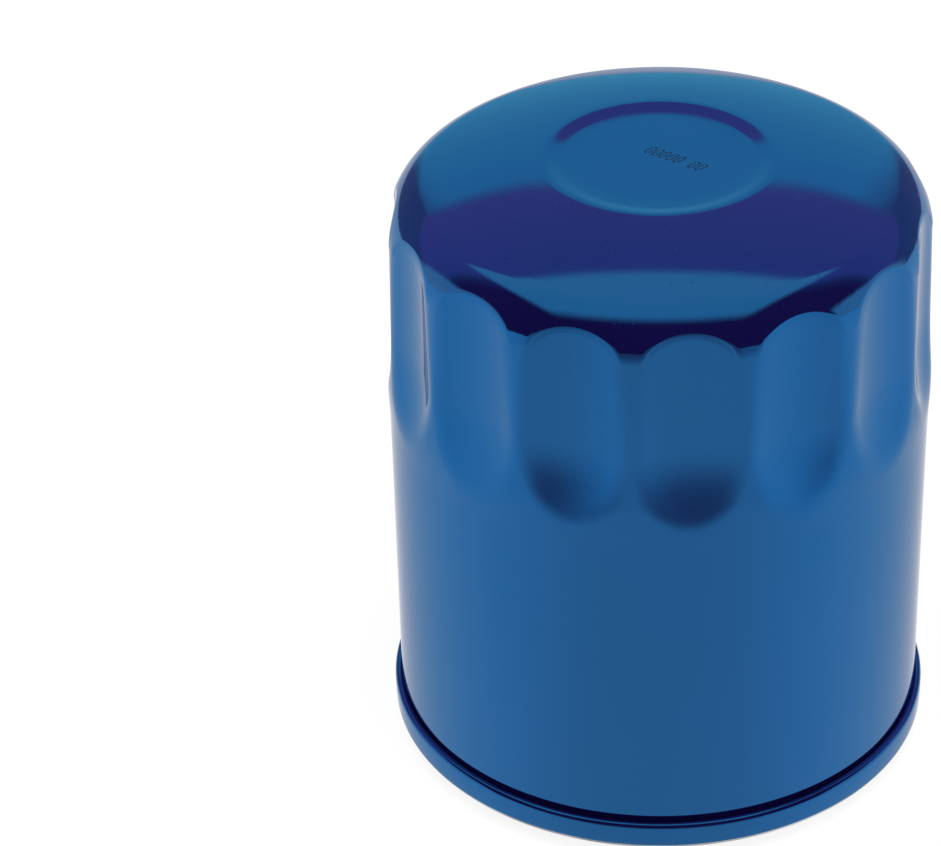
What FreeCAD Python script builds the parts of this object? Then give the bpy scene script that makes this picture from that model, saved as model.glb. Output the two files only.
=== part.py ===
"""Spin-on oil filter for a small engine, standing on its gasket.

Millimetres. +Z runs up the axis from the engine's side to the domed end.
The origin is on the axis at the gasket's sealing face. One flute faces -Y.
"""

import FreeCAD, Part

import math
import os

from FreeCAD import Vector

# ---- driving dimensions -------------------------------------------------------

total_height = 91.6  # gasket face to the rim of the dome's recess
can_radius = 38.1  # a 3 inch can
can_sheet = 0.45

# dome
shoulder_reach = 37.5  # the wall tapers in to this radius at the shoulder
taper_start = 58.8
shoulder_radius = 7.25
shoulder_slope = math.radians(17.7)  # slope of the dome where the shoulder meets the crown
crown_radius = 81.5
recess_radius = 15.65
recess_wall = 2.2
recess_depth = 0.4

# wrench flutes
flute_count = 15
flute_radius = 24.0
flute_floor = 36.15
flute_bend = 67.8  # below this height the floor runs out to the wall
flute_slope = math.radians(11.0)

# double seam
seam_radius = 39.08
seam_bottom = 1.8
seam_top = 6.2
hook_gap = 0.35  # from a hook's tip to the centre of the fold round it

# mounting end
gasket_inner = 30.85
gasket_outer = 34.7
gasket_height = 5.6
lid_inner = 27.2
lid_shelf = 4.0
lid_ridge = 3.2
lid_ridge_width = 1.6
lid_bend = 0.5
plate_radius = 34.6
plate_thickness = 2.8
boss_radius = 11.2
boss_height = 10.0  # from the plate's underside
thread_major = 19.05  # 3/4 inch, 16 threads to the inch
thread_pitch = 25.4 / 16
bore_chamfer = 0.7
inlet_count = 8
inlet_radius = 3.0
inlet_circle = 20.5

# filter element
valve_collar_top = 13.4
valve_lip_radius = 27.9
cap_sheet = 0.4
cap_radius = 33.6
cap_rim = 4.6
cap_bend = 0.8
upper_cap_top = 76.6
adhesive_depth = 2.0
tube_radius = 16.5
tube_sheet = 0.4
tube_holes_round = 8
tube_hole_rows = 7
tube_hole_radius = 2.2
pleat_count = 50
pleat_outer = 32.6
pleat_inner = 17.4
pleat_tip = 1.6  # width of a fold, outside
pleat_valley = 0.9
paper_thickness = 0.35

# bypass valve, in a well in the upper cap
well_radius = 13.0
well_floor = 74.0
seat_radius = 7.0
seat_lip = 1.4
cage_radius = 10.9
cage_sheet = 0.5
cage_floor = 60.0
cage_windows = 4
disc_radius = 10.0
disc_thickness = 0.8
seal_inner = 5.0
seal_outer = 9.5
seal_thickness = 1.2
stem_radius = 1.5
stem_clearance = 0.08
stem_below_cage = 1.6
bypass_wire = 0.9
bypass_coil = 6.0
bypass_turns = 5

# spring between the dome and the element
element_wire = 1.6
element_coil = 11.6
element_turns = 5

touch = 0.02  # gap between faces that rest on each other across a joint

up = Vector(0, 0, 1)
origin = Vector(0, 0, 0)


# ---- geometry helpers ---------------------------------------------------------


def bent_path(corners, bend):
    """Wire through (radius, height) corners, each rounded by bend or by its own third value."""
    points = [Vector(c[0], 0, c[1]) for c in corners]
    edges = []
    start = points[0]
    for corner, before, at, after in zip(corners[1:], points, points[1:], points[2:]):
        radius = corner[2] if len(corner) > 2 else bend
        back = (before - at).normalize()
        ahead = (after - at).normalize()
        half_angle = back.getAngle(ahead) / 2
        tangent = radius / math.tan(half_angle)
        arc_start = at + back * tangent
        arc_end = at + ahead * tangent
        middle = at + (back + ahead).normalize() * (radius / math.sin(half_angle) - radius)
        if (arc_start - start).Length > 1e-6:
            edges.append(Part.LineSegment(start, arc_start).toShape())
        edges.append(Part.Arc(arc_start, middle, arc_end).toShape())
        start = arc_end
    edges.append(Part.LineSegment(start, points[-1]).toShape())
    return Part.Wire(edges)


def revolve(face):
    """Full turn of a section in the XZ plane round the filter's axis."""
    return Part.makeSolid(face.revolve(origin, up, 360))


def stamping(corners, sheet, bend):
    """Revolved sheet metal. The corners trace one face and the sheet grows to the left of it."""
    return revolve(bent_path(corners, bend).makeOffset2D(sheet, 0, True, True, False))


def turned(corners):
    """Revolved solid whose section is a polygon of (radius, height) corners."""
    points = [Vector(r, 0, z) for r, z in corners]
    return revolve(Part.Face(Part.makePolygon(points + points[:1])))


def ring(inner, outer, bottom, top):
    return turned([(inner, bottom), (outer, bottom), (outer, top), (inner, top)])


def drilled(shape, holes):
    for hole in holes:
        shape = shape.cut(hole)
    return shape


def turned_copies(shape, count, first=0.0):
    """The shape repeated evenly round the axis, the first one at an angle in degrees."""
    copies = []
    for index in range(count):
        copy = shape.copy()
        copy.rotate(origin, up, first + index * 360 / count)
        copies.append(copy)
    return copies


def coil(radius, wire, turns, bottom, top):
    """Round wire on a helix that fills the space between two heights."""
    travel = top - bottom - wire
    helix = Part.makeHelix(travel / turns, travel, radius)
    lead = math.atan2(travel / turns, 2 * math.pi * radius)
    along = Vector(0, math.cos(lead), math.sin(lead))
    section = Part.Wire(Part.Circle(Vector(radius, 0, 0), along, wire / 2).toShape())
    spring = Part.Wire(helix).makePipeShell([section], True, True)
    spring.translate(Vector(0, 0, bottom + wire / 2))
    return spring


# ---- can ----------------------------------------------------------------------

shoulder_centre_radius = shoulder_reach - shoulder_radius
crown_join = shoulder_centre_radius + shoulder_radius * math.sin(shoulder_slope)
recess_slope = math.asin(math.sin(shoulder_slope) - (crown_join - recess_radius) / crown_radius)
join_height = total_height - crown_radius * (math.cos(recess_slope) - math.cos(shoulder_slope))
shoulder_height = join_height - shoulder_radius * math.cos(shoulder_slope)
skirt_height = seam_top + 1.8  # the plain wall starts here, above the neck

# five layers of sheet make the double seam, from the outside in
hook_outer = seam_radius - can_sheet
hook_inner = hook_outer - can_sheet
neck_outer = hook_inner - can_sheet
neck_inner = neck_outer - can_sheet
chuck_wall = neck_inner - can_sheet
lower_fold = seam_bottom + (seam_radius - chuck_wall) / 2  # centre of the folds at the bottom
upper_fold = seam_top - 1.5 * can_sheet  # and at the top


def dome_line():
    """Outer face of the can from the middle of the recess down to the start of the plain wall."""

    def on_crown(slope):
        reach = crown_join - crown_radius * (math.sin(shoulder_slope) - math.sin(slope))
        fall = crown_radius * (math.cos(recess_slope) - math.cos(slope))
        return Vector(reach, 0, total_height - fall)

    def on_shoulder(slope):
        reach = shoulder_centre_radius + shoulder_radius * math.sin(slope)
        return Vector(reach, 0, shoulder_height + shoulder_radius * math.cos(slope))

    recess_floor = total_height - recess_depth
    floor_edge = Vector(recess_radius - recess_wall, 0, recess_floor)
    wall_top = Vector(shoulder_reach, 0, shoulder_height)
    wall_middle = Vector(can_radius, 0, taper_start)
    wall_end = Vector(can_radius, 0, skirt_height)
    crown_middle = (recess_slope + shoulder_slope) / 2
    shoulder_middle = (shoulder_slope + math.pi / 2) / 2
    crown = Part.Arc(on_crown(recess_slope), on_crown(crown_middle), on_crown(shoulder_slope))
    shoulder = Part.Arc(on_crown(shoulder_slope), on_shoulder(shoulder_middle), wall_top)
    return Part.Wire(
        [
            Part.LineSegment(Vector(0, 0, recess_floor), floor_edge).toShape(),
            Part.LineSegment(floor_edge, on_crown(recess_slope)).toShape(),
            crown.toShape(),
            shoulder.toShape(),
            Part.LineSegment(wall_top, wall_middle).toShape(),
            Part.LineSegment(wall_middle, wall_end).toShape(),
        ]
    )


def filled(line):
    """Solid inside a line that runs from the axis at the top to the plain wall's start."""
    ends = sorted(line.Vertexes, key=lambda vertex: vertex.Point.x)
    top = ends[0].Point
    foot = [v.Point for v in line.Vertexes if abs(v.Point.z - skirt_height) < 1e-6][0]
    closing = Part.makePolygon([foot, Vector(0, 0, skirt_height), top])
    return revolve(Part.Face(Part.Wire(line.Edges + closing.Edges)))


def flute_tools(inset):
    """Mitred cylinders that press the flutes, thicker by the sheet for the inner face."""
    floor_point = Vector(flute_floor, 0, flute_bend)
    outward = Vector(math.cos(flute_slope), 0, math.sin(flute_slope))
    run_out = Vector(math.sin(flute_slope), 0, -math.cos(flute_slope))
    radius = flute_radius + inset
    past_mitre = 10
    upper_start = floor_point + Vector(flute_radius, 0, -past_mitre)
    lower_start = floor_point + outward * flute_radius - run_out * past_mitre
    upper = Part.makeCylinder(radius, 50, upper_start, up)
    lower = Part.makeCylinder(radius, 50, lower_start, run_out)
    above_mitre = Part.makeBox(200, 200, 100, Vector(-100, -100, 0))
    above_mitre.rotate(origin, Vector(0, 1, 0), -math.degrees(flute_slope) / 2)
    above_mitre.translate(floor_point)
    tool = upper.common(above_mitre).fuse(lower.cut(above_mitre))
    return turned_copies(tool, flute_count, -90)


def make_can():
    outer_line = dome_line()
    inner_line = outer_line.makeOffset2D(-can_sheet, 0, False, True, False)
    outside = drilled(filled(outer_line), flute_tools(0))
    inside = drilled(filled(inner_line), flute_tools(can_sheet))
    shell = outside.cut(inside)
    fold_bottom = lower_fold - can_sheet / 2
    hook = [
        (can_radius, skirt_height),
        (can_radius, seam_top + 1.0, 0.5),
        (neck_outer, seam_top + 0.3, 0.5),
        (neck_outer, fold_bottom, can_sheet / 2),
        (hook_inner, fold_bottom, can_sheet / 2),
        (hook_inner, upper_fold - hook_gap),
    ]
    rolled_end = stamping(hook, -can_sheet, can_sheet)
    return shell.fuse(rolled_end).removeSplitter()


def make_seam_compound():
    in_upper_fold = ring(hook_inner, hook_outer, upper_fold - hook_gap, upper_fold)
    in_lower_fold = ring(neck_outer, hook_inner, lower_fold, lower_fold + hook_gap)
    return Part.makeCompound([in_upper_fold, in_lower_fold])


# ---- mounting end -------------------------------------------------------------

plate_bottom = gasket_height + can_sheet
plate_top = plate_bottom + plate_thickness
boss_top = plate_bottom + boss_height
thread_minor_radius = thread_major / 2 - 0.5413 * thread_pitch


def make_seaming_lid():
    groove_inner = gasket_inner - 0.15
    groove_outer = gasket_outer + 0.2
    ridge_inner = groove_inner - lid_ridge_width
    seam_bend = (seam_radius - chuck_wall) / 2
    hook_bend = (seam_radius - neck_outer) / 2
    path = [
        (lid_inner, gasket_height),
        (ridge_inner, gasket_height),
        (ridge_inner, lid_ridge),
        (groove_inner, lid_ridge),
        (groove_inner, gasket_height),
        (groove_outer, gasket_height),
        (groove_outer, lid_shelf),
        (chuck_wall, lid_shelf),
        (chuck_wall, seam_bottom, seam_bend),
        (seam_radius, seam_bottom, seam_bend),
        (seam_radius, seam_top, hook_bend),
        (neck_outer, seam_top, hook_bend),
        (neck_outer, lower_fold + hook_gap),
    ]
    return stamping(path, can_sheet, lid_bend)


def make_base_plate():
    plate = turned(
        [
            (thread_minor_radius + bore_chamfer, plate_bottom),
            (plate_radius, plate_bottom),
            (plate_radius, plate_top),
            (boss_radius, plate_top),
            (boss_radius, boss_top),
            (thread_minor_radius + bore_chamfer, boss_top),
            (thread_minor_radius, boss_top - bore_chamfer),
            (thread_minor_radius, plate_bottom + bore_chamfer),
        ]
    )
    start = Vector(inlet_circle, 0, plate_bottom - 1)
    inlet = Part.makeCylinder(inlet_radius, plate_thickness + 2, start, up)
    return drilled(plate, turned_copies(inlet, inlet_count))


def make_mounting_gasket():
    edge = 0.35
    return turned(
        [
            (gasket_inner + edge, 0),
            (gasket_outer - edge, 0),
            (gasket_outer, edge),
            (gasket_outer, gasket_height - edge),
            (gasket_outer - edge, gasket_height),
            (gasket_inner + edge, gasket_height),
            (gasket_inner, gasket_height - edge),
            (gasket_inner, edge),
        ]
    )


def make_drainback_valve():
    """Rubber collar round the boss with a skirt that lies on the plate outside the inlets."""
    collar_inner = boss_radius + 0.05
    foot = plate_top + touch
    return turned(
        [
            (collar_inner, foot),
            (collar_inner + 2.4, foot),
            (collar_inner + 2.7, foot + 2.3),
            (collar_inner + 4.3, foot + 2.8),
            (valve_lip_radius - 1.2, foot),
            (valve_lip_radius, foot),
            (valve_lip_radius - 0.2, foot + 1.0),
            (collar_inner + 4.7, foot + 4.0),
            (collar_inner + 2.9, valve_collar_top),
            (collar_inner, valve_collar_top),
        ]
    )


# ---- filter element -----------------------------------------------------------

lower_cap_bottom = valve_collar_top + touch
lower_cap_floor = lower_cap_bottom + cap_sheet
upper_cap_floor = upper_cap_top - cap_sheet
paper_bottom = lower_cap_floor + adhesive_depth
paper_top = upper_cap_floor - adhesive_depth


def make_lower_end_cap():
    path = [
        (boss_radius + 1.0, lower_cap_bottom),
        (cap_radius, lower_cap_bottom),
        (cap_radius, lower_cap_bottom + cap_rim),
    ]
    return stamping(path, cap_sheet, cap_bend)


def make_upper_end_cap():
    """Cap with a well in the middle that ends in the seat lip of the bypass valve."""
    path = [
        (cap_radius, upper_cap_top - cap_rim),
        (cap_radius, upper_cap_top),
        (well_radius, upper_cap_top, 0.5),
        (well_radius, well_floor, 0.5),
        (seat_radius, well_floor, 0.5),
        (seat_radius, well_floor - seat_lip),
    ]
    return stamping(path, cap_sheet, cap_bend)


def adhesive(cap_face, paper_face):
    """Ring that fills a cap's channel from the cap up or down to the paper."""
    side = math.copysign(0.5, paper_face - cap_face)
    outer = cap_radius - cap_sheet
    return turned(
        [
            (tube_radius, cap_face),
            (outer - 0.5, cap_face),
            (outer, cap_face + side),
            (outer, paper_face),
            (tube_radius, paper_face),
        ]
    )


def make_centre_tube():
    tube = ring(tube_radius - tube_sheet, tube_radius, lower_cap_floor, upper_cap_floor)
    pitch = (upper_cap_floor - lower_cap_floor) / (tube_hole_rows + 1)
    holes = []
    for row in range(tube_hole_rows):
        start = Vector(tube_radius - 2, 0, lower_cap_floor + (row + 1) * pitch)
        hole = Part.makeCylinder(tube_hole_radius, 4, start, Vector(1, 0, 0))
        stagger = (row % 2) * 180 / tube_holes_round
        holes += turned_copies(hole, tube_holes_round, stagger)
    return drilled(tube, holes)


def make_filter_paper():
    outline = []
    for pleat in range(pleat_count):
        centre = 2 * math.pi * pleat / pleat_count
        valley = centre + math.pi / pleat_count
        tip_angle = math.asin(pleat_tip / 2 / pleat_outer)
        valley_angle = math.asin(pleat_valley / 2 / pleat_inner)
        for radius, angle in (
            (pleat_outer, centre - tip_angle),
            (pleat_outer, centre + tip_angle),
            (pleat_inner, valley - valley_angle),
            (pleat_inner, valley + valley_angle),
        ):
            place = Vector(radius * math.cos(angle), radius * math.sin(angle), paper_bottom)
            outline.append(place)
    outer = Part.makePolygon(outline + outline[:1])
    inner = outer.makeOffset2D(-paper_thickness, 2, False, False, False)
    section = Part.Face(outer).cut(Part.Face(inner)).Faces[0]
    return section.extrude(Vector(0, 0, paper_top - paper_bottom))


def make_paper_seam_clip():
    """Channel folded over the pleat at +X where the paper's two ends meet."""
    height = paper_top - paper_bottom
    strip = 0.3
    slack = 0.02
    depth = 4.6
    inside = pleat_tip / 2 + slack
    back = pleat_outer + slack
    start = back - depth
    channel = Part.makeBox(
        depth + strip, 2 * (inside + strip), height, Vector(start, -inside - strip, paper_bottom)
    )
    slot = Part.makeBox(depth, 2 * inside, height, Vector(start, -inside, paper_bottom))
    return channel.cut(slot)


# ---- bypass valve -------------------------------------------------------------

seat_height = well_floor - seat_lip
seal_top = seat_height - touch
disc_top = seal_top - seal_thickness
disc_bottom = disc_top - disc_thickness
cage_top = well_floor - cap_sheet
cage_bottom = cage_floor - cage_sheet


def make_bypass_cage():
    path = [
        (cage_radius + 1.9, cage_top),
        (cage_radius, cage_top, 0.6),
        (cage_radius, cage_floor, 0.6),
        (stem_radius + stem_clearance, cage_floor),
    ]
    cage = stamping(path, cage_sheet, 0.6)
    window = Part.makeBox(8, 9, 7, Vector(cage_radius - 3, -4.5, cage_floor + 2.5))
    return drilled(cage, turned_copies(window, cage_windows))


def make_bypass_disc():
    return ring(stem_radius, disc_radius, disc_bottom, disc_top)


def make_bypass_seal():
    return ring(seal_inner, seal_outer, disc_top, seal_top)


def make_bypass_stem():
    """Pin with its head riveted over on the disc."""
    foot = cage_bottom - stem_below_cage
    return turned(
        [
            (0, foot),
            (stem_radius - 0.3, foot),
            (stem_radius, foot + 0.3),
            (stem_radius, disc_top),
            (stem_radius + 1.2, disc_top),
            (stem_radius + 0.8, disc_top + 0.7),
            (0, disc_top + 0.7),
        ]
    )


def make_bypass_clip():
    bottom = cage_bottom - 0.9
    return ring(stem_radius, stem_radius + 1.4, bottom, bottom + 0.5)


def make_bypass_spring():
    return coil(bypass_coil, bypass_wire, bypass_turns, cage_floor, disc_bottom - touch)


def make_element_spring():
    dome_inside = total_height - recess_depth - can_sheet
    return coil(element_coil, element_wire, element_turns, well_floor, dome_inside)


# ---- write the nodes ----------------------------------------------------------

nodes = {
    "can": make_can(),
    "seaming_lid": make_seaming_lid(),
    "seam_compound": make_seam_compound(),
    "base_plate": make_base_plate(),
    "mounting_gasket": make_mounting_gasket(),
    "drainback_valve": make_drainback_valve(),
    "lower_end_cap": make_lower_end_cap(),
    "lower_adhesive": adhesive(lower_cap_floor, paper_bottom),
    "centre_tube": make_centre_tube(),
    "filter_paper": make_filter_paper(),
    "paper_seam_clip": make_paper_seam_clip(),
    "upper_adhesive": adhesive(upper_cap_floor, paper_top),
    "upper_end_cap": make_upper_end_cap(),
    "bypass_cage": make_bypass_cage(),
    "bypass_disc": make_bypass_disc(),
    "bypass_seal": make_bypass_seal(),
    "bypass_stem": make_bypass_stem(),
    "bypass_clip": make_bypass_clip(),
    "bypass_spring": make_bypass_spring(),
    "element_spring": make_element_spring(),
}

os.makedirs("parts", exist_ok=True)
for name, shape in nodes.items():
    shape.exportStep(f"parts/{name}.step")
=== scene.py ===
import math
import random

import bmesh
import bpy
import numpy as np
from mathutils import Matrix, Vector


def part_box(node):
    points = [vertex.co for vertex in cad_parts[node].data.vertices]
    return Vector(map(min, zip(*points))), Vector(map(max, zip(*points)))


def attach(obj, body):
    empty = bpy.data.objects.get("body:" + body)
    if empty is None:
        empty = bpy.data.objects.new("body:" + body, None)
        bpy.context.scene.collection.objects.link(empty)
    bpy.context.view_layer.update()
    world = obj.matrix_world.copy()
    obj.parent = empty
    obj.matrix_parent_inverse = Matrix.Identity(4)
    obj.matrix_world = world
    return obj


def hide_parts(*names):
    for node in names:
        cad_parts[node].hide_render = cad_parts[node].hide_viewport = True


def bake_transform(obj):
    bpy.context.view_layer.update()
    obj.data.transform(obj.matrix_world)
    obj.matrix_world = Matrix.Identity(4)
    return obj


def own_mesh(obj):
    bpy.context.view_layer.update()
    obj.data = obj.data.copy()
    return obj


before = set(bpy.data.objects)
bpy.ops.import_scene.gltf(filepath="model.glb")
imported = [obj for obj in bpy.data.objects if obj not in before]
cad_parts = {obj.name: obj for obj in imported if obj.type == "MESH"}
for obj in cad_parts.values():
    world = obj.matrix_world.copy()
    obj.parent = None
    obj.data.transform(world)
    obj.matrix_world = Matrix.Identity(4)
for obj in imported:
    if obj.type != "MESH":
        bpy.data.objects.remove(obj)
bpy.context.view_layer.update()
scene = bpy.context.scene
collection = scene.collection
MM = 0.001


# ---- base plate ---------------------------------------------------------------
# Hot-rolled steel disc, blanked and pierced with a ring of inlet holes, its middle
# drawn up into a boss and tapped for the engine's threaded nipple.

plate_low, plate_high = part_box("base_plate")
plate_radius = plate_high.x
plate_bottom = plate_low.z
boss_top = plate_high.z
plate_top = plate_bottom + 2.8 * MM
boss_radius = 11.2 * MM
thread_root = 9.525 * MM
thread_pitch = 25.4 * MM / 16
thread_crest = thread_root - 0.5413 * thread_pitch
inlet_circle = 20.5 * MM
inlet_radius = 3.0 * MM
inlet_count = 8


def linear(code):
    """The linear colour of an sRGB hex code."""
    parts = [int(code[i : i + 2], 16) / 255 for i in (1, 3, 5)]
    return [p / 12.92 if p <= 0.04045 else ((p + 0.055) / 1.055) ** 2.4 for p in parts] + [1]


def node(tree, kind, inputs=None, **settings):
    """Adds a node. An input's value is a plain value, or a socket to link from."""
    made = tree.nodes.new(kind)
    for name, value in settings.items():
        setattr(made, name, value)
    for key, value in (inputs or {}).items():
        if isinstance(value, bpy.types.NodeSocket):
            tree.links.new(value, made.inputs[key])
        else:
            made.inputs[key].default_value = value
    return made


def new_material(name):
    """A material with its tree emptied, and the object coordinates in millimetres."""
    made = bpy.data.materials.new(name)
    made.use_nodes = True
    tree = made.node_tree
    tree.nodes.clear()
    place = node(tree, "ShaderNodeTexCoord").outputs["Object"]
    scale = {0: place, 1: (1 / MM, 1 / MM, 1 / MM)}
    return made, tree, node(tree, "ShaderNodeVectorMath", scale, operation="MULTIPLY").outputs[0]


def noise(tree, place, size, detail=3.0, stretch=(1, 1, 1)):
    """Noise whose grains are about size millimetres, drawn out along the stretch."""
    squeeze = tuple(1 / (size * s) for s in stretch)
    scaled = node(tree, "ShaderNodeVectorMath", {0: place, 1: squeeze}, operation="MULTIPLY")
    wanted = {"Vector": scaled.outputs[0], "Scale": 1.0, "Detail": detail}
    return node(tree, "ShaderNodeTexNoise", wanted).outputs["Fac"]


def ramp(tree, value, low, high, out_low=0.0, out_high=1.0):
    """The value's range low to high drawn over out_low to out_high, smoothly."""
    wanted = {"Value": value, "From Min": low, "From Max": high}
    wanted.update({"To Min": out_low, "To Max": out_high})
    made = node(tree, "ShaderNodeMapRange", wanted, interpolation_type="SMOOTHSTEP")
    return made.outputs["Result"]


def mixed(tree, share, first, second):
    """Two colours mixed by a share."""
    made = node(tree, "ShaderNodeMix", {"Factor": share}, data_type="RGBA")
    for socket, colour in ((made.inputs["A"], first), (made.inputs["B"], second)):
        if isinstance(colour, bpy.types.NodeSocket):
            tree.links.new(colour, socket)
        else:
            socket.default_value = colour
    return made.outputs["Result"]


def bump(tree, height, depth, under=None):
    """Surface relief whose full height is depth millimetres."""
    wanted = {"Height": height, "Strength": 1.0, "Distance": depth * MM}
    if under is not None:
        wanted["Normal"] = under
    return node(tree, "ShaderNodeBump", wanted).outputs["Normal"]


def surface(tree, **inputs):
    """The Principled shader and the output. Underscores in the input names stand for spaces."""
    named = {key.replace("_", " "): value for key, value in inputs.items()}
    shader = node(tree, "ShaderNodeBsdfPrincipled", named)
    node(tree, "ShaderNodeOutputMaterial", {"Surface": shader.outputs["BSDF"]})


def steel(name, dark, light, roughness, grain, relief=0.004, stain=9.0):
    """Bare or plated steel: cloudy tone, fine grain from rolling or plating, faint relief."""
    made, tree, place = new_material(name)
    cloud = ramp(tree, noise(tree, place, stain, 4), 0.32, 0.68)
    fine = noise(tree, place, grain, 4)
    tone = mixed(tree, cloud, linear(dark), linear(light))
    gloss = node(tree, "ShaderNodeMath", {0: cloud, 1: fine}, operation="MULTIPLY").outputs[0]
    surface(
        tree,
        Base_Color=tone,
        Metallic=1.0,
        Roughness=ramp(tree, gloss, 0.0, 0.7, roughness + 0.1, roughness - 0.05),
        Normal=bump(tree, fine, relief),
    )
    return made


def finished(name, mesh, materials, sharp_degrees=32):
    """Object of a mesh, shaded smooth but for its sharp edges."""
    made = bpy.data.objects.new(name, mesh)
    collection.objects.link(made)
    mesh.polygons.foreach_set("use_smooth", [True] * len(mesh.polygons))
    mesh.set_sharp_from_angle(angle=math.radians(sharp_degrees))
    for material in materials:
        mesh.materials.append(material)
    return made


def woven(name, rows, joined=True, caps=False):
    """Mesh over rows of points, each row a closed ring. joined closes the rows on themselves."""
    count, across = rows.shape[:2]
    index = np.arange(count * across).reshape(count, across)
    if joined:
        index = np.vstack([index, index[:1]])
    beside = np.roll(index, -1, axis=1)
    quads = np.stack([index[:-1], beside[:-1], beside[1:], index[1:]], axis=-1).reshape(-1, 4)
    mesh = bpy.data.meshes.new(name)
    faces = quads.tolist()
    if caps:
        faces += [index[0, ::-1].tolist(), index[-1].tolist()]
    mesh.from_pydata(rows.reshape(-1, 3).tolist(), [], faces)
    mesh.update()
    return mesh


def outward(mesh):
    """Merges doubles and points every face outwards."""
    shape = bmesh.new()
    shape.from_mesh(mesh)
    bmesh.ops.remove_doubles(shape, verts=shape.verts, dist=1e-7)
    bmesh.ops.recalc_face_normals(shape, faces=shape.faces)
    shape.to_mesh(mesh)
    shape.free()
    return mesh


def turned(section, around):
    """Rows of a closed section of (radius, height) points turned about the axis."""
    angles = np.linspace(0, 2 * math.pi, around, endpoint=False)
    section = np.array(section)
    x = section[:, :1] * np.cos(angles)
    y = section[:, :1] * np.sin(angles)
    return np.stack([x, y, np.repeat(section[:, 1:], around, axis=1)], axis=-1)


def lathe(name, section, materials, around=240, sharp_degrees=32):
    """Closed ring turned from a section."""
    return finished(name, outward(woven(name, turned(section, around))), materials, sharp_degrees)


def rounded(corners, radius, steps=5, closed=True):
    """A line through (radius, height) corners with its corners rounded, and the normal on its left."""
    count = len(corners)
    line = []
    for i, corner in enumerate(corners):
        at = Vector(corner[:2])
        if not closed and i in (0, count - 1):
            near = Vector(corners[1 if i == 0 else count - 2][:2])
            along = (near - at if i == 0 else at - near).normalized()
            line.append((at, Vector((-along.y, along.x))))
            continue
        before = Vector(corners[i - 1][:2]) - at
        after = Vector(corners[(i + 1) % count][:2]) - at
        before.normalize()
        after.normalize()
        wanted = corner[2] if len(corner) > 2 else radius
        half = before.angle(after) / 2
        centre = at + (before + after).normalized() * (wanted / math.sin(half))
        turn = math.copysign(1, -before.x * after.y + before.y * after.x)
        first = at + before * (wanted / math.tan(half)) - centre
        for step in range(steps + 1):
            swing = turn * (math.pi - 2 * half) * step / steps
            spoke = Matrix.Rotation(swing, 2) @ first
            line.append((centre + spoke, -spoke.normalized() * turn))
    return line


def solid_section(corners, radius, steps=5):
    return [tuple(point) for point, _ in rounded(corners, radius, steps)]


def sheet_section(corners, sheet, radius, steps=5):
    """Section of sheet metal: one face follows the corners and the sheet grows to its left."""
    line = rounded(corners, radius, steps, closed=False)
    near = [tuple(point) for point, _ in line]
    far = [tuple(point + normal * sheet) for point, normal in line]
    return near + far[::-1]


plate_steel = steel("phosphated_plate_steel", "#6f6d68", "#a3a19b", 0.42, 0.25, 0.006)


def make_base_plate():
    """The plate turned with its tapped bore, then pierced."""
    around = 144
    edge = 0.35 * MM
    chamfer = 0.7 * MM
    outside = rounded(
        [
            (thread_crest + chamfer, plate_bottom),
            (plate_radius, plate_bottom),
            (plate_radius, plate_top),
            (boss_radius, plate_top, 0.9 * MM),
            (boss_radius, boss_top),
            (thread_crest + chamfer, boss_top),
        ],
        edge,
        4,
        closed=False,
    )
    rows = [row for row in turned([tuple(point) for point, _ in outside], around)]
    angles = np.linspace(0, 2 * math.pi, around, endpoint=False)
    for height in np.arange(boss_top, plate_bottom, -thread_pitch / 12)[1:]:
        phase = (height / thread_pitch - angles / (2 * math.pi)) % 1
        tooth = np.clip(np.abs(phase - 0.5) * 2 * 1.25 - 0.125, 0, 1)
        bore = thread_crest + (thread_root - thread_crest) * tooth
        from_end = min(boss_top - height, height - plate_bottom)
        bore = np.maximum(bore, thread_crest + chamfer - from_end)
        rows.append(np.stack([bore * np.cos(angles), bore * np.sin(angles), angles * 0 + height], -1))
    mesh = outward(woven("base_plate_body", np.array(rows)))
    plate = finished("base_plate_body", mesh, [plate_steel])
    punch = bpy.data.meshes.new("punch")
    shape = bmesh.new()
    for hole in range(inlet_count):
        turn = Matrix.Rotation(hole * 2 * math.pi / inlet_count, 4, "Z")
        place = turn @ Matrix.Translation((inlet_circle, 0, (plate_bottom + plate_top) / 2))
        size = {"radius1": inlet_radius, "radius2": inlet_radius, "depth": 6 * MM}
        bmesh.ops.create_cone(shape, cap_ends=True, segments=40, matrix=place, **size)
    shape.to_mesh(punch)
    shape.free()
    cutter = bpy.data.objects.new("punch", punch)
    collection.objects.link(cutter)
    cut = plate.modifiers.new("pierced", "BOOLEAN")
    cut.object = cutter
    cut.solver = "EXACT"
    bpy.context.view_layer.update()
    pierced = bpy.data.meshes.new_from_object(plate.evaluated_get(bpy.context.evaluated_depsgraph_get()))
    plate.modifiers.clear()
    plate.data = pierced
    bpy.data.objects.remove(cutter)
    pierced.set_sharp_from_angle(angle=math.radians(32))
    return plate


plate = make_base_plate()
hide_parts("base_plate")
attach(plate, "housing")


# ---- seaming lid --------------------------------------------------------------
# Thin tinplate cover spot-welded under the base plate. It forms the gasket's groove, and
# its edge is rolled with the can's edge into the double seam, painted on the outside.

lid_low, lid_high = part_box("seaming_lid")
gasket_low, gasket_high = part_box("mounting_gasket")
sheet = 0.45 * MM
seam_bottom = lid_low.z
seam_top = lid_high.z
seam_radius = lid_high.x
hook_inner = seam_radius - 2 * sheet
neck_outer = seam_radius - 3 * sheet
chuck_wall = seam_radius - 5 * sheet
seam_fold = (seam_radius - chuck_wall) / 2
bare_lip = 0.9 * MM  # the paint stops this far above the seam's lower edge
gasket_inner = 30.85 * MM
gasket_outer = gasket_high.x
gasket_top = gasket_high.z

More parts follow.
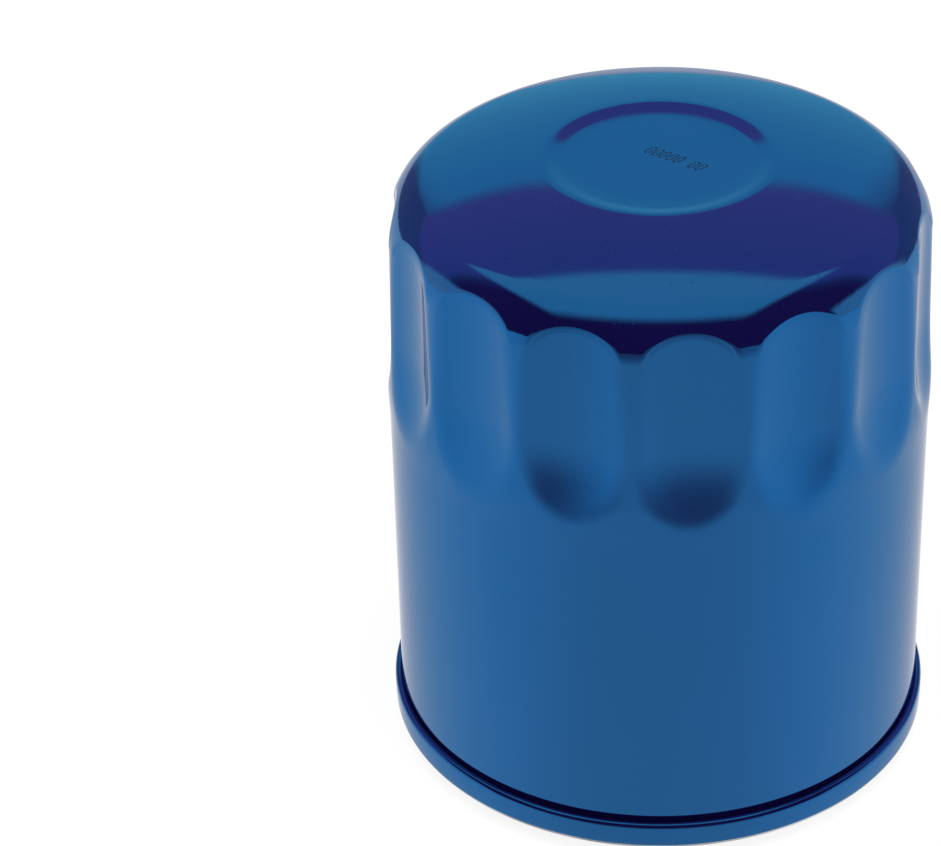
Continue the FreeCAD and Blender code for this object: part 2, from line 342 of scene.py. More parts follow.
tinplate = steel("tinplate", "#8e9091", "#b9bbbb", 0.30, 0.12, 0.0015, stain=14.0)


def make_enamel():
    """Glossy baked blue enamel: a dark indigo body under a deep, clear, blue-tinted gloss."""
    made, tree, place = new_material("blue_baked_enamel")
    cloud = ramp(tree, noise(tree, place, 30.0, 2), 0.3, 0.7)
    tone = mixed(tree, cloud, linear("#130a40"), linear("#160d48"))
    # specks of dust baked into the gloss, a few tenths of a millimetre across
    cells = node(tree, "ShaderNodeTexVoronoi", {"Vector": place, "Scale": 0.16})
    speck = ramp(tree, cells.outputs["Distance"], 0.012, 0.03, 1.0, 0.0)
    peel = noise(tree, place, 1.6, 1)
    nib_cells = node(tree, "ShaderNodeTexVoronoi", {"Vector": place, "Scale": 0.55})
    nib = ramp(tree, nib_cells.outputs["Distance"], 0.02, 0.09, 1.0, 0.0)
    flow = bump(tree, peel, 0.0012)
    surface(
        tree,
        Base_Color=mixed(tree, speck, tone, linear("#05030f")),
        IOR=2.0,
        Specular_Tint=linear("#38adfd"),
        Specular_IOR_Level=1.0,
        Roughness=0.06,
        Normal=bump(tree, nib, 0.012, flow),
    )
    return made


enamel = make_enamel()


def make_seaming_lid():
    ridge_outer = gasket_inner - 0.15 * MM
    ridge_inner = ridge_outer - 1.6 * MM
    groove_outer = gasket_outer + 0.2 * MM
    shelf = 4.0 * MM
    flange_inner = 27.2 * MM
    ridge_bottom = 3.2 * MM
    hook_tip = 3.3 * MM
    corners = [
        (flange_inner, gasket_top),
        (ridge_inner, gasket_top),
        (ridge_inner, ridge_bottom),
        (ridge_outer, ridge_bottom),
        (ridge_outer, gasket_top),
        (groove_outer, gasket_top),
        (groove_outer, shelf),
        (chuck_wall, shelf),
        (chuck_wall, seam_bottom, seam_fold),
        (seam_radius, seam_bottom, seam_fold),
        (seam_radius, seam_top, 1.5 * sheet),
        (neck_outer, seam_top, 1.5 * sheet),
        (neck_outer, hook_tip),
    ]
    lid = lathe("lid_body", sheet_section(corners, sheet, 0.5 * MM, 8), [tinplate, enamel], 360)
    painted_from = seam_bottom + bare_lip
    for face in lid.data.polygons:
        reach = math.hypot(face.center.x, face.center.y)
        if reach > hook_inner + sheet * 0.9 and face.center.z > painted_from:
            face.material_index = 1
        if face.center.z > seam_top - 1.5 * sheet and reach > neck_outer:
            face.material_index = 1
    return lid


lid = make_seaming_lid()
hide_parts("seaming_lid")
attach(lid, "housing")


# ---- mounting gasket ----------------------------------------------------------
# Moulded nitrile ring, square in section with a small chamfer, pressed into the groove.


def rubber(name, tone, worn, roughness):
    """Moulded black rubber: dull, faintly bloomed with wax and dust."""
    made, tree, place = new_material(name)
    bloom = ramp(tree, noise(tree, place, 5.0, 4), 0.35, 0.75)
    fine = noise(tree, place, 0.22, 3)
    surface(
        tree,
        Base_Color=mixed(tree, bloom, linear(tone), linear(worn)),
        Roughness=ramp(tree, bloom, 0.0, 1.0, roughness, roughness + 0.15),
        Normal=bump(tree, fine, 0.01),
    )
    return made


gasket_rubber = rubber("moulded_nitrile_gasket", "#161616", "#232322", 0.42)
gasket_corners = [
    (gasket_inner, gasket_low.z),
    (gasket_outer, gasket_low.z),
    (gasket_outer, gasket_top),
    (gasket_inner, gasket_top),
]
gasket = lathe("gasket_ring", solid_section(gasket_corners, 0.45 * MM, 6), [gasket_rubber], 300)
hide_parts("mounting_gasket")
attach(gasket, "housing")


# ---- drain-back valve ---------------------------------------------------------
# Moulded rubber flap: a collar clamped round the boss and a thin skirt that lies on the
# plate outside the inlets. Oil coming in lifts the skirt's lip.

valve_low, valve_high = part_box("drainback_valve")
collar_inner = 11.25 * MM
valve_rubber = rubber("moulded_valve_rubber", "#1b1b1e", "#2a2a2c", 0.36)


def make_drainback_valve():
    foot = valve_low.z
    top = valve_high.z
    lip = valve_high.x
    corners = [
        (collar_inner, foot),
        (collar_inner + 2.4 * MM, foot),
        (collar_inner + 2.7 * MM, foot + 2.3 * MM, 0.4 * MM),
        (collar_inner + 4.3 * MM, foot + 2.8 * MM, 1.0 * MM),
        (lip - 1.2 * MM, foot, 0.1 * MM),
        (lip, foot, 0.1 * MM),
        (lip - 0.2 * MM, foot + 1.0 * MM, 0.3 * MM),
        (collar_inner + 4.7 * MM, foot + 4.0 * MM, 1.5 * MM),
        (collar_inner + 2.9 * MM, top),
        (collar_inner, top),
    ]
    line = solid_section(corners, 0.2 * MM, 5)
    # extra rings along the skirt, at most 0.8 mm apart
    dense = []
    for (r0, z0), (r1, z1) in zip(line, line[1:] + line[:1]):
        parts = max(1, round(math.hypot(r1 - r0, z1 - z0) / (0.8 * MM)))
        dense += [(r0 + (r1 - r0) * i / parts, z0 + (z1 - z0) * i / parts) for i in range(parts)]
    return lathe("drainback_flap_body", dense, [valve_rubber], 200)


flap = make_drainback_valve()
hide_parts("drainback_valve")
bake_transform(flap)


# ---- end caps and adhesive ----------------------------------------------------
# Stamped zinc-plated caps. Each holds a ring of red plastisol that seals the paper's ends
# and was cured in the oven. The upper cap's well ends in the bypass valve's seat.

zinc_steel = steel("zinc_plated_steel", "#9a9c9c", "#c4c6c3", 0.28, 0.15, 0.002, stain=6.0)
cap_low, cap_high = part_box("lower_end_cap")
_, top_cap_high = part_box("upper_end_cap")
cap_radius = cap_high.x
cap_sheet = 0.4 * MM
well_floor = 74.0 * MM
seat_radius = 7.0 * MM


def make_plastisol():
    made, tree, place = new_material("cured_plastisol")
    swirl = ramp(tree, noise(tree, place, 3.0, 3), 0.3, 0.7)
    surface(
        tree,
        Base_Color=mixed(tree, swirl, linear("#8a2f1c"), linear("#a23c22")),
        Roughness=0.38,
        Normal=bump(tree, noise(tree, place, 1.2, 2), 0.05),
    )
    return made


plastisol = make_plastisol()
cap_hole = 12.2 * MM
cap_rim = 4.6 * MM
well_radius = 13.0 * MM
seat_lip = 1.4 * MM
tube_radius = 16.5 * MM
lower_cap_corners = [(cap_hole, cap_low.z), (cap_radius, cap_low.z), (cap_radius, cap_high.z)]
upper_cap_corners = [
    (cap_radius, top_cap_high.z - cap_rim),
    (cap_radius, top_cap_high.z),
    (well_radius, top_cap_high.z, 0.5 * MM),
    (well_radius, well_floor, 0.5 * MM),
    (seat_radius, well_floor, 0.5 * MM),
    (seat_radius, well_floor - seat_lip),
]
caps = {"lower": lower_cap_corners, "upper": upper_cap_corners}
for end, corners in caps.items():
    cap = lathe(f"{end}_cap_body", sheet_section(corners, cap_sheet, 0.8 * MM, 6), [zinc_steel], 240)
    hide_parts(f"{end}_end_cap")
    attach(cap, "housing")
    low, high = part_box(f"{end}_adhesive")
    sides = [(tube_radius, low.z), (high.x, low.z), (high.x, high.z), (tube_radius, high.z)]
    glue = lathe(f"{end}_glue_ring", solid_section(sides, 0.45 * MM, 4), [plastisol], 200)
    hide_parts(f"{end}_adhesive")
    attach(glue, "housing")


# ---- centre tube --------------------------------------------------------------
# Zinc-plated strip rolled into a tube and pierced with rows of oil holes. It carries the
# element's load and lets the clean oil through.

tube_low, tube_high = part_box("centre_tube")
tube_rows = 7
tube_holes = 8


def applied(piece, tree, sizes):
    """Runs a geometry tree on a piece with its named sizes and keeps the result as a plain mesh."""
    run = piece.modifiers.new("made", "NODES")
    run.node_group = tree
    sockets = {s.name: s.identifier for s in tree.interface.items_tree if s.in_out == "INPUT"}
    for name, value in sizes.items():
        run[sockets[name]] = value
    bpy.context.view_layer.update()
    seen = piece.evaluated_get(bpy.context.evaluated_depsgraph_get())
    mesh = bpy.data.meshes.new_from_object(seen)
    piece.modifiers.clear()
    piece.data = mesh
    mesh.polygons.foreach_set("use_smooth", [True] * len(mesh.polygons))
    mesh.set_sharp_from_angle(angle=math.radians(32))
    return piece


def make_centre_tube():
    """The tube's holes are cut by one tree: drills on a staggered grid, subtracted."""
    corners = [
        (tube_high.x - cap_sheet, tube_low.z),
        (tube_high.x, tube_low.z),
        (tube_high.x, tube_high.z),
        (tube_high.x - cap_sheet, tube_high.z),
    ]
    tube = lathe("tube_body", corners, [zinc_steel], 160)
    tree = bpy.data.node_groups.new("pierced_tube", "GeometryNodeTree")
    face = tree.interface
    face.new_socket("Geometry", in_out="INPUT", socket_type="NodeSocketGeometry")
    sizes = {"Rows": ("NodeSocketInt", tube_rows), "Holes": ("NodeSocketInt", tube_holes)}
    sizes["Hole radius"] = ("NodeSocketFloat", 2.2 * MM)
    sizes["Tube radius"] = ("NodeSocketFloat", tube_high.x)
    sizes["Bottom"] = ("NodeSocketFloat", tube_low.z)
    sizes["Pitch"] = ("NodeSocketFloat", (tube_high.z - tube_low.z) / (tube_rows + 1))
    for name, (kind, _) in sizes.items():
        face.new_socket(name, in_out="INPUT", socket_type=kind)
    face.new_socket("Geometry", in_out="OUTPUT", socket_type="NodeSocketGeometry")
    given = node(tree, "NodeGroupInput").outputs

    def maths(operation, a, b=0.0):
        return node(tree, "ShaderNodeMath", {0: a, 1: b}, operation=operation).outputs[0]

    count = maths("MULTIPLY", given["Rows"], given["Holes"])
    points = node(tree, "GeometryNodePoints", {"Count": count}).outputs[0]
    index = node(tree, "GeometryNodeInputIndex").outputs[0]
    row = maths("FLOOR", maths("DIVIDE", index, given["Holes"]))
    step = maths("DIVIDE", 2 * math.pi, given["Holes"])
    half = maths("MULTIPLY", maths("MODULO", row, 2.0), 0.5)
    angle = maths("MULTIPLY", maths("ADD", index, half), step)
    height = maths("ADD", given["Bottom"], maths("MULTIPLY", maths("ADD", row, 1.0), given["Pitch"]))
    reach = given["Tube radius"]
    x = maths("MULTIPLY", maths("COSINE", angle), reach)
    y = maths("MULTIPLY", maths("SINE", angle), reach)
    where = node(tree, "ShaderNodeCombineXYZ", {0: x, 1: y, 2: height}).outputs[0]
    placed = node(tree, "GeometryNodeSetPosition", {"Geometry": points, "Position": where}).outputs[0]
    size = {"Vertices": 24, "Radius": given["Hole radius"], "Depth": 4 * MM}
    drill = node(tree, "GeometryNodeMeshCylinder", size).outputs["Mesh"]
    lean = node(tree, "ShaderNodeCombineXYZ", {1: math.pi / 2, 2: angle}).outputs[0]
    aimed = {"Points": placed, "Instance": drill, "Rotation": lean}
    drills = node(tree, "GeometryNodeInstanceOnPoints", aimed).outputs[0]
    loose = node(tree, "GeometryNodeRealizeInstances", {0: drills}).outputs[0]
    cut = node(tree, "GeometryNodeMeshBoolean", operation="DIFFERENCE", solver="EXACT")
    tree.links.new(given["Geometry"], cut.inputs["Mesh 1"])
    tree.links.new(loose, cut.inputs["Mesh 2"])
    whole = node(tree, "GeometryNodeRealizeInstances", {0: cut.outputs[0]}).outputs[0]
    coated = {"Geometry": whole, "Material": zinc_steel}
    done = node(tree, "GeometryNodeSetMaterial", coated).outputs[0]
    node(tree, "NodeGroupOutput", {0: done})
    return applied(tube, tree, {name: value for name, (_, value) in sizes.items()})


tube = make_centre_tube()
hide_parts("centre_tube")
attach(tube, "housing")


# ---- filter paper -------------------------------------------------------------
# Resin-treated cellulose paper, scored, pleated and joined into a star by a folded steel
# strip, then cured, which turns it light brown.

paper_low, paper_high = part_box("filter_paper")
pleats = 50
paper_thickness = 0.35 * MM


def make_paper_material():
    made, tree, place = new_material("resin_treated_paper")
    fibre = noise(tree, place, 0.35, 5, (1, 1, 3))
    cloud = ramp(tree, noise(tree, place, 6.0, 3), 0.3, 0.7)
    tone = mixed(tree, cloud, linear("#c29a5b"), linear("#d3ae71"))
    surface(
        tree,
        Base_Color=mixed(tree, ramp(tree, fibre, 0.4, 0.75, 0.0, 0.35), tone, linear("#8f6a38")),
        Roughness=0.86,
        Normal=bump(tree, fibre, 0.05),
    )
    return made


def make_filter_paper():
    """A closed band of round-folded pleats, drawn from bottom to top."""
    outer = 32.6 * MM
    inner = 17.4 * MM
    tip = 0.8 * MM
    valley = 0.45 * MM
    face = []
    back = []
    for pleat in range(pleats):
        middle = 2 * math.pi * pleat / pleats
        for centre, reach, radius, sign in (
            (middle, outer, tip, 1),
            (middle + math.pi / pleats, inner, valley + paper_thickness, -1),
        ):
            along = Vector((math.cos(centre), math.sin(centre)))
            side = Vector((-along.y, along.x))
            centre_reach = reach - sign * radius if sign > 0 else reach + valley
            for step in range(7):
                swing = math.radians(-90 + 30 * step) * sign
                spoke = along * math.cos(swing) * sign + side * math.sin(swing) * sign
                near = radius if sign > 0 else radius - paper_thickness
                far = radius - paper_thickness if sign > 0 else radius
                face.append(along * centre_reach + spoke * near)
                back.append(along * centre_reach + spoke * far)
    bottom, top = paper_low.z, paper_high.z
    rows = []
    for line, height in ((face, bottom), (face, top), (back, top), (back, bottom)):
        rows.append([(point.x, point.y, height) for point in line])
    mesh = outward(woven("pleated_paper", np.array(rows)))
    return finished("pleated_paper", mesh, [make_paper_material()])


paper = make_filter_paper()
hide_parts("filter_paper")
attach(paper, "housing")


# ---- springs ------------------------------------------------------------------
# Oil-tempered wire coils with closed ends: one under the bypass disc, one between the
# dome and the element.


def make_wire_material():
    made, tree, place = new_material("oil_tempered_wire")
    cloud = ramp(tree, noise(tree, place, 2.5, 3), 0.3, 0.7)
    surface(
        tree,
        Base_Color=mixed(tree, cloud, linear("#4a4a4c"), linear("#66666a")),
        Metallic=1.0,
        Roughness=0.34,
        Normal=bump(tree, noise(tree, place, 0.1, 2), 0.002),
    )
    return made


spring_wire = make_wire_material()


def make_spring(name, radius, wire, turns, bottom, top):
    """Round wire on a helix whose first and last turns close up on their neighbours."""
    steps, across = 56 * (turns + 2), 12
    t = np.linspace(0, 1, steps)
    turn = t * (turns + 2)
    closed = np.clip(np.minimum(turn, turns + 2 - turn), 0, 1)
    rise = np.cumsum(0.12 + 0.88 * closed**2)
    height = bottom + wire / 2 + (top - bottom - wire) * (rise - rise[0]) / (rise[-1] - rise[0])
    angle = 2 * math.pi * turn
    path = np.stack([radius * np.cos(angle), radius * np.sin(angle), height], -1)
    along = np.gradient(path, axis=0)
    along /= np.linalg.norm(along, axis=1, keepdims=True)
    out = np.stack([np.cos(angle), np.sin(angle), angle * 0], -1)
    side = np.cross(along, out)
    ring = np.linspace(0, 2 * math.pi, across, endpoint=False)
    spokes = out[:, None] * np.cos(ring)[None, :, None] + side[:, None] * np.sin(ring)[None, :, None]
    rows = path[:, None] + spokes * wire / 2
    mesh = outward(woven(name, rows, joined=False, caps=True))
    return finished(name, mesh, [spring_wire], 60)


_, element_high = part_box("element_spring")
dome_inside = element_high.z
cage_floor = 60.0 * MM
disc_low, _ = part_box("bypass_disc")
bypass_wire = 0.9 * MM
bypass_radius = 6.0 * MM
element_wire = 1.6 * MM
element_radius = 11.6 * MM
free_turns = 3
bypass_spring = make_spring(
    "bypass_coil", bypass_radius, bypass_wire, free_turns, cage_floor, disc_low.z
)
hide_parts("bypass_spring")
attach(bypass_spring, "housing")
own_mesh(bypass_spring)
element_spring = make_spring(
    "element_coil", element_radius, element_wire, free_turns, well_floor, dome_inside
)
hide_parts("element_spring")
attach(element_spring, "housing")


# ---- bypass valve, paper clip and seam compound -------------------------------
# Small turned and stamped pieces, as the frame has them, with their own finishes.

compound = rubber("seam_sealing_compound", "#5c5e5b", "#6b6d69", 0.6)
kept = {
    "bypass_cage": zinc_steel,
    "bypass_disc": zinc_steel,
    "bypass_seal": valve_rubber,
    "bypass_stem": plate_steel,
    "bypass_clip": spring_wire,
    "paper_seam_clip": tinplate,
    "seam_compound": compound,
}
for name, material in kept.items():
    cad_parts[name].material_slots[0].material = material


# ---- can ----------------------------------------------------------------------
# Deep-drawn steel shell. Wrench flutes are pressed round the shoulder, a shallow round
# recess into the dome, and the open end is flanged and hooked into the double seam.

_, can_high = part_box("can")
can_radius = 38.1 * MM
shoulder_reach = 37.5 * MM
taper_start = 58.8 * MM
shoulder_radius = 7.25 * MM
shoulder_slope = math.radians(17.7)
crown_radius = 81.5 * MM
recess_radius = 15.65 * MM
recess_wall = 2.2 * MM
recess_depth = 0.4 * MM
flute_count = 15
flute_radius = 24.0 * MM
flute_floor = 36.15 * MM
flute_bend = 67.8 * MM
flute_curl = 30.0 * MM
flute_slope = math.radians(17.0)
flute_end = 52.0 * MM
flute_top = 80.0 * MM
skirt_top = seam_top + 1.8 * MM
column_count = flute_count * 38

shoulder_centre = shoulder_reach - shoulder_radius
crown_join = shoulder_centre + shoulder_radius * math.sin(shoulder_slope)
recess_slope = math.asin(math.sin(shoulder_slope) - (crown_join - recess_radius) / crown_radius)
join_height = can_high.z - crown_radius * (math.cos(recess_slope) - math.cos(shoulder_slope))
shoulder_height = join_height - shoulder_radius * math.cos(shoulder_slope)


def softer(a, b, width):
    """The smaller of two values, rounded where they cross."""
    near = np.clip(width - np.abs(a - b), 0, None) / width
    return np.minimum(a, b) - near * near * width / 4


def wall_reach(height, inset):
    """Radius of the unfluted wall: straight, then tapering in to the shoulder, then its arc."""
    share = np.clip((height - taper_start) / (shoulder_height - taper_start), 0, 1)
    straight = can_radius + (shoulder_reach - can_radius) * share
    swell = 0.18 * MM * np.exp(-(((height - 57.5 * MM) / (4.0 * MM)) ** 2))
    arc_height = np.clip(height - shoulder_height, 0, None)
    radius = shoulder_radius - inset
    arc = shoulder_centre + np.sqrt(np.clip(radius**2 - arc_height**2, 0, None))
    return np.where(height > shoulder_height, arc, straight + swell - inset)


def flute_reach(height, swing, inset):
    """Radius of a flute's hollow at an angle from its middle. Its floor runs out at the bottom."""
    below = np.clip(flute_bend - height, 0, None)
    curved = np.minimum(below, flute_curl * math.tan(flute_slope))
    floor = flute_floor + curved**2 / (2 * flute_curl) + (below - curved) * math.tan(flute_slope)
    centre = floor + flute_radius
    radius = flute_radius + inset
    return centre * np.cos(swing) - np.sqrt(radius**2 - (centre * np.sin(swing)) ** 2)


def can_face(inset, columns, rows):
    """Rows of points of the can's outer or inner face, from the dome's middle to the neck."""
    angles = np.linspace(0, 2 * math.pi, columns, endpoint=False) - math.pi / 2
    pitch = 2 * math.pi / flute_count
    swing = (angles + math.pi / 2 + pitch / 2) % pitch - pitch / 2
    line = []
    reach = np.ones(columns)
    floor = can_high.z - recess_depth
    wall_start = recess_radius - recess_wall
    for radius in np.linspace(0.02 * MM, wall_start, rows["recess"]):
        line.append((reach * radius, reach * (floor - inset)))
    for share in np.linspace(0, 1, rows["wall"] + 1)[1:]:
        rise = share - 0.2 * math.sin(2 * math.pi * share) / (2 * math.pi)
        height = floor + recess_depth * rise - inset
        line.append((reach * (wall_start + recess_wall * share), reach * height))
    for slope in np.linspace(recess_slope, shoulder_slope, rows["crown"] + 1)[1:]:
        radius = crown_join - crown_radius * (math.sin(shoulder_slope) - math.sin(slope))
        height = can_high.z - crown_radius * (math.cos(recess_slope) - math.cos(slope))
        out, up = math.sin(slope) * inset, math.cos(slope) * inset
        line.append((reach * (radius - out), reach * (height - up)))
    radius = shoulder_radius - inset
    hollow = np.minimum(flute_reach(flute_top, swing, inset), shoulder_reach - inset)
    tilt = np.arcsin(np.clip((hollow - shoulder_centre) / radius, 0, 1))
    for share in np.linspace(0, 1, rows["shoulder"] + 1)[1:]:
        slope = shoulder_slope + (tilt - shoulder_slope) * (1 - (1 - share) ** 1.6)
        out = shoulder_centre + radius * np.sin(slope)
        height = shoulder_height + radius * np.cos(slope)
        line.append((softer(out, flute_reach(height, swing, inset), 0.35 * MM), height))
    edge = shoulder_height + radius * np.cos(tilt)
    for share in np.linspace(0, 1, rows["flute"] + 1)[1:]:
        height = edge + (flute_end - edge) * (0.55 * share + 0.45 * share**2.2)
        body = wall_reach(height, inset)
        line.append((softer(body, flute_reach(height, swing, inset), 0.6 * MM), height))
    for height in np.linspace(flute_end, skirt_top, rows["plain"] + 1)[1:]:
        line.append((wall_reach(reach * height, inset), reach * height))
    return np.array([np.stack([r * np.cos(angles), r * np.sin(angles), z], -1) for r, z in line])


def make_can():
    columns = column_count
    outer = can_face(
        0.0,
        columns,
        {"recess": 6, "wall": 12, "crown": 16, "shoulder": 22, "flute": 54, "plain": 8},
    )
    inner = can_face(
        sheet,
        columns,
        {"recess": 3, "wall": 4, "crown": 4, "shoulder": 6, "flute": 14, "plain": 2},
    )
    fold_bottom = seam_bottom + seam_fold - sheet / 2
    corners = [
        (can_radius, skirt_top),
        (can_radius, seam_top + 1.0 * MM, 0.5 * MM),
        (neck_outer, seam_top + 0.3 * MM, 0.5 * MM),
        (neck_outer, fold_bottom, sheet / 2),
        (hook_inner, fold_bottom, sheet / 2),
        (hook_inner, 5.2 * MM),
    ]
    hook = turned(sheet_section(corners, -sheet, 0.5 * MM, 4)[1:-1], columns)
    angles = np.linspace(0, 2 * math.pi, columns, endpoint=False) - math.pi / 2
    reach = np.hypot(hook[..., 0], hook[..., 1])
    hook = np.stack([reach * np.cos(angles), reach * np.sin(angles), hook[..., 2]], -1)
    rows = np.concatenate([outer, hook, inner[::-1]])
    mesh = outward(woven("can_shell", rows, joined=False, caps=True))
    return finished("can_shell", mesh, [enamel], 50)


can = make_can()
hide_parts("can")
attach(can, "housing")


# ---- ink mark -----------------------------------------------------------------
# Black ink-jet dots on the recess's floor, a plain row of zeros where a date code goes.


def make_ink():
    made, tree, place = new_material("black_marking_ink")
    worn = ramp(tree, noise(tree, place, 0.4, 2), 0.35, 0.75)
    tone = mixed(tree, worn, linear("#05070c"), linear("#0d1626"))
    surface(tree, Base_Color=tone, Roughness=0.8)
    return made


def make_ink_mark():
    """Dot-matrix zeros, five and then two, a hundredth of a millimetre proud of the enamel."""
    pitch = 0.23 * MM
    dot = 0.125 * MM
    zero = [(0, row) for row in range(1, 6)] + [(3, row) for row in range(1, 6)]
    zero += [(column, row) for column in (1, 2) for row in (0, 6)]
    shape = bmesh.new()
    seeded = random.Random(7)
    floor = can_high.z - recess_depth + 0.01 * MM
    for place in (0, 1, 2, 3, 4, 6, 7):
        for column, row in zero:
            x = (place * 5.2 + column - 19 + 0.35 * row + seeded.uniform(-0.12, 0.12)) * pitch
            y = (row - 3 + seeded.uniform(-0.1, 0.1)) * pitch * 1.35
            spot = Matrix.Translation((x, y, floor))
            bmesh.ops.create_circle(shape, cap_ends=True, segments=10, radius=dot, matrix=spot)
    turn = Matrix.Translation((2 * MM, 0, 0)) @ Matrix.Rotation(math.radians(-42), 4, "Z")
    bmesh.ops.transform(shape, matrix=turn, verts=shape.verts)
    mesh = bpy.data.meshes.new("ink_dots")
    shape.to_mesh(mesh)
    shape.free()
    return finished("ink_dots", mesh, [make_ink()])


mark = make_ink_mark()
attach(mark, "housing")


# ---- studio -------------------------------------------------------------------
# White table lit from overhead, in white surroundings. The gloss mirrors a painted room
# instead of them, with a backdrop, a dim ceiling, a softbox and a dark front.


def seen_directly(tree):
    """1 for what the camera, a reflection or a view through something sees, 0 for light falling."""
    path = node(tree, "ShaderNodeLightPath").outputs
    first = {0: path["Is Camera Ray"], 1: path["Is Glossy Ray"]}
    either = node(tree, "ShaderNodeMath", first, operation="MAXIMUM").outputs[0]
    second = {0: either, 1: path["Is Transmission Ray"]}
    return node(tree, "ShaderNodeMath", second, operation="MAXIMUM").outputs[0]


def make_floor():
    """Round white table. What the camera sees of it is white, but for a faint shadow."""
    made = bpy.data.materials.new("white_table")
    made.use_nodes = True
    tree = made.node_tree
    tree.nodes.clear()
    seen = seen_directly(tree)
    share = node(tree, "ShaderNodeMath", {0: seen, 1: 0.75}, operation="MULTIPLY")
    matt = node(tree, "ShaderNodeBsdfDiffuse", {"Color": linear("#f4f4f4")})
    white = node(tree, "ShaderNodeEmission", {"Strength": 1.15})
    both = node(tree, "ShaderNodeMixShader", {0: share.outputs[0], 1: matt.outputs[0], 2: white.outputs[0]})
    # open to the camera from underneath
    below = node(tree, "ShaderNodeNewGeometry").outputs["Backfacing"]
    clear = node(tree, "ShaderNodeBsdfTransparent")
    open_below = {0: below, 1: both.outputs[0], 2: clear.outputs[0]}
    sided = node(tree, "ShaderNodeMixShader", open_below)
    node(tree, "ShaderNodeOutputMaterial", {"Surface": sided.outputs[0]})
    shape = bmesh.new()
    level = Matrix.Translation((0, 0, -0.05 * MM))
    bmesh.ops.create_circle(shape, cap_ends=True, segments=96, radius=0.5, matrix=level)
    mesh = bpy.data.meshes.new("table")
    shape.to_mesh(mesh)
    shape.free()
    table = bpy.data.objects.new("table", mesh)
    collection.objects.link(table)
    mesh.materials.append(made)
    return table


camera_turn = -6.5


def step_between(value, low, high):
    share = np.clip((value - low) / (high - low), 0, 1)
    return share * share * (3 - 2 * share)


def make_room():
    """What the gloss mirrors, by direction: a backdrop, a dim ceiling, a softbox, a dark front."""
    across, tall = 360, 180
    turn = np.radians(np.linspace(0, 360, across, endpoint=False))
    lift = np.radians(np.linspace(-89.9, 89.9, tall))
    side = np.outer(np.cos(lift), np.sin(turn))
    ahead = np.outer(np.cos(lift), np.cos(turn))
    high = np.outer(np.sin(lift), np.ones(across))
    over = np.degrees(np.arctan2(high, ahead)) % 360
    leaned = np.degrees(np.arcsin(side))
    rise = np.degrees(np.arcsin(high))
    front = 1 - step_between(np.abs(np.degrees(np.arctan2(side, -ahead))), 50, 85)
    behind = step_between(over, 35, 39)
    light = np.ones((tall, across, 1)) * np.array([0.02, 0.015, 0.04])

    def lay(colour, share):
        light[:] = light + (np.array(colour) - light) * share[..., None]

    upper = step_between(rise, -1, 1)
    lay((0.18, 0.22, 0.35), upper * (1 - step_between(over, 60, 90)))
    lay((0.5, 0.25, 0.55), upper * behind * (1 - step_between(over, 66, 78)))
    lay((0.18, 0.8, 0.98), upper * (1 - behind) * (1 - step_between(np.abs(leaned + 1), 18, 25)))
    box = step_between(over, 60, 62) * (1 - step_between(over, 100, 122))
    lay((0.75, 1.05, 1.05), box * (1 - step_between(np.abs(leaned + 3), 26, 31)))
    lay((0.9, 0.95, 1.0), upper * step_between(np.abs(leaned), 62, 70) * (1 - step_between(rise, 20, 30)))
    dimmed = 0.72 * front * step_between(rise, -30, -4)
    lay((1.0, 0.97, 1.0), (1 - upper) * (1 - dimmed))
    lay((0.72, 1.2, 1.38), (1 - upper) * step_between(np.abs(leaned), 15, 70))
    points = np.stack([side, ahead, high], -1) * 1.8
    turned_by = np.array(Matrix.Rotation(math.radians(camera_turn), 3, "Z"))
    mesh = woven("room", points @ turned_by.T, joined=False, caps=True)
    tint = mesh.color_attributes.new("light", "FLOAT_COLOR", "POINT")
    tint.data.foreach_set("color", np.dstack([light, np.ones((tall, across))]).ravel())
    made = bpy.data.materials.new("room_light")
    made.use_nodes = True
    tree = made.node_tree
    tree.nodes.clear()
    painted = node(tree, "ShaderNodeAttribute", attribute_name="light")
    lit = node(tree, "ShaderNodeEmission", {"Color": painted.outputs["Color"]})
    node(tree, "ShaderNodeOutputMaterial", {"Surface": lit.outputs[0]})
    mesh.materials.append(made)
    room = bpy.data.objects.new("room", mesh)
    collection.objects.link(room)
    room.visible_camera = False
    room.visible_diffuse = False
    room.visible_shadow = False
    room.visible_transmission = False
    return room


table = make_floor()
table.visible_glossy = False
room = make_room()


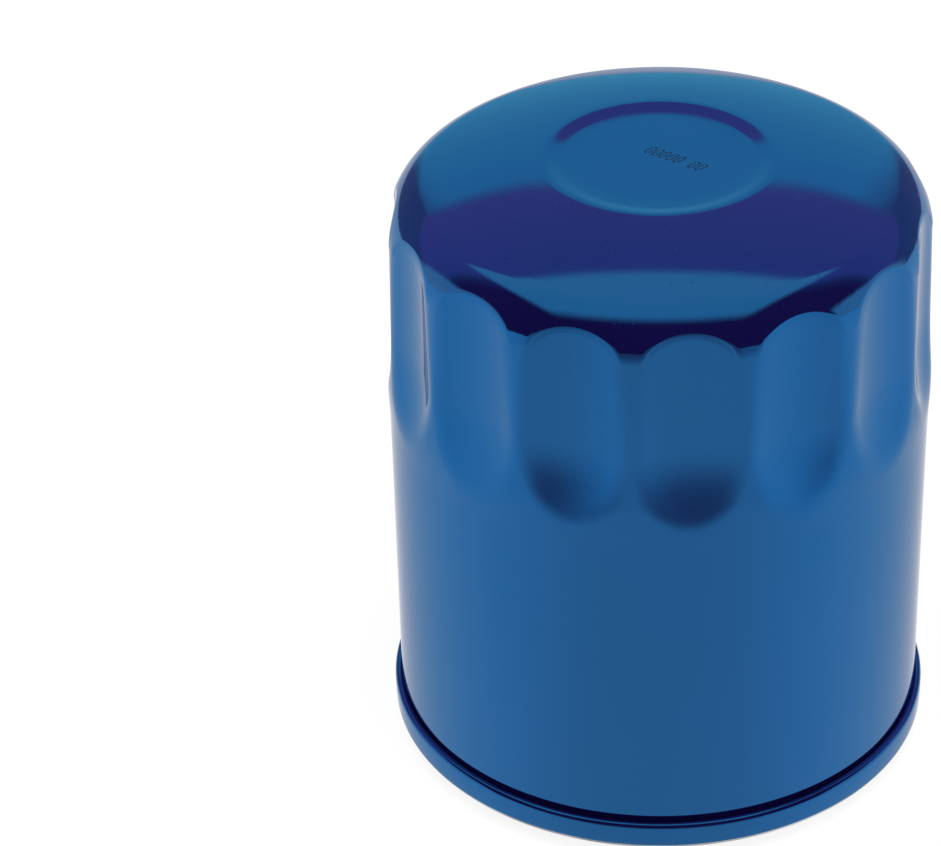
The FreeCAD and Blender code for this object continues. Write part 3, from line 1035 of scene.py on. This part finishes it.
def make_world():
    world = bpy.data.worlds.new("studio")
    scene.world = world
    world.use_nodes = True
    tree = world.node_tree
    tree.nodes.clear()
    seen = seen_directly(tree)
    fill = node(tree, "ShaderNodeBackground", {"Strength": 0.8})
    white = node(tree, "ShaderNodeBackground", {"Strength": 1.0})
    both = node(tree, "ShaderNodeMixShader", {0: seen, 1: fill.outputs[0], 2: white.outputs[0]})
    node(tree, "ShaderNodeOutputWorld", {"Surface": both.outputs[0]})


make_world()
lamp_data = bpy.data.lights.new("overhead", "AREA")
lamp_data.shape = "SQUARE"
lamp_data.size = 0.6
lamp_data.energy = 3.0
lamp = bpy.data.objects.new("overhead", lamp_data)
lamp.location = (0.05, -0.25, 1.0)
lamp.rotation_euler = Vector((-0.05, 0.25, -0.95)).to_track_quat("-Z", "Y").to_euler()
lamp.visible_glossy = False
collection.objects.link(lamp)


# ---- camera -------------------------------------------------------------------
# Long lens from about half a metre, looking down on the shoulder with the filter to the right.


def swung(first, second, angle):
    """Two square axes turned in their plane, the first towards the second."""
    cosine, sine = math.cos(angle), math.sin(angle)
    return first * cosine + second * sine, second * cosine - first * sine


def make_camera():
    lens = 136.04
    distance = 511.9 * MM
    elevation = math.radians(33.94)
    pan = math.radians(3.019)
    tilt = math.radians(-0.578)
    roll = math.radians(-0.223)
    aim = Vector((0, 0, 41.8 * MM))
    ahead = Vector((0, math.cos(elevation), -math.sin(elevation)))
    right = Vector((1, 0, 0))
    up = right.cross(ahead)
    place = aim - ahead * distance
    right, ahead = swung(right, ahead, pan)
    up, ahead = swung(up, ahead, tilt)
    up, right = swung(up, right, roll)
    axes = Matrix((right, up, -ahead)).transposed().to_4x4()
    data = bpy.data.cameras.new("camera")
    data.lens = lens
    data.sensor_width = 36.0
    data.clip_start = 0.01
    made = bpy.data.objects.new("camera", data)
    around = Matrix.Rotation(math.radians(camera_turn), 4, "Z")
    made.matrix_world = around @ Matrix.Translation(place) @ axes
    collection.objects.link(made)
    scene.camera = made


make_camera()
scene.view_settings.view_transform = "Standard"
